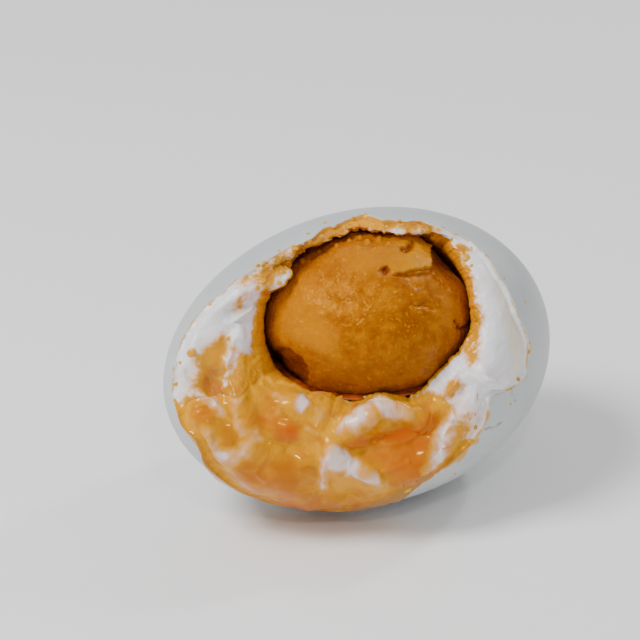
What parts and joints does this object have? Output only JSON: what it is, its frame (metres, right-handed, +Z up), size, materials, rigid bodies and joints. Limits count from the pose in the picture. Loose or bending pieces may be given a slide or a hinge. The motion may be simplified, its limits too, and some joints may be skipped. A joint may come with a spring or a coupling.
{
  "type": "salted duck egg",
  "caption": "Opened salted duck egg lying on its side: broken pale shell, torn white, round orange yolk in its hollow and runny yolk spilled over the lower edge.",
  "frame": {"origin": "on the resting surface, straight below the egg's middle, at the middle of the small flat spot that the egg rests on", "axes": "+X along the egg's long axis towards its blunt end, +Z up; the opening faces -Y, turned 30 degrees towards -X and tilted up 27 degrees"},
  "size_m": [0.0638, 0.0451, 0.0451],
  "materials": {
    "shell": "satin",
    "white": "moist satin",
    "yolk": "fine grained, moist",
    "spilled_yolk": "wet gloss"
  },
  "bodies": {
    "root": {"shell": "shell", "white": "white", "yolk": "yolk", "spilled_yolk": "spilled_yolk"}
  },
  "joints": []
}
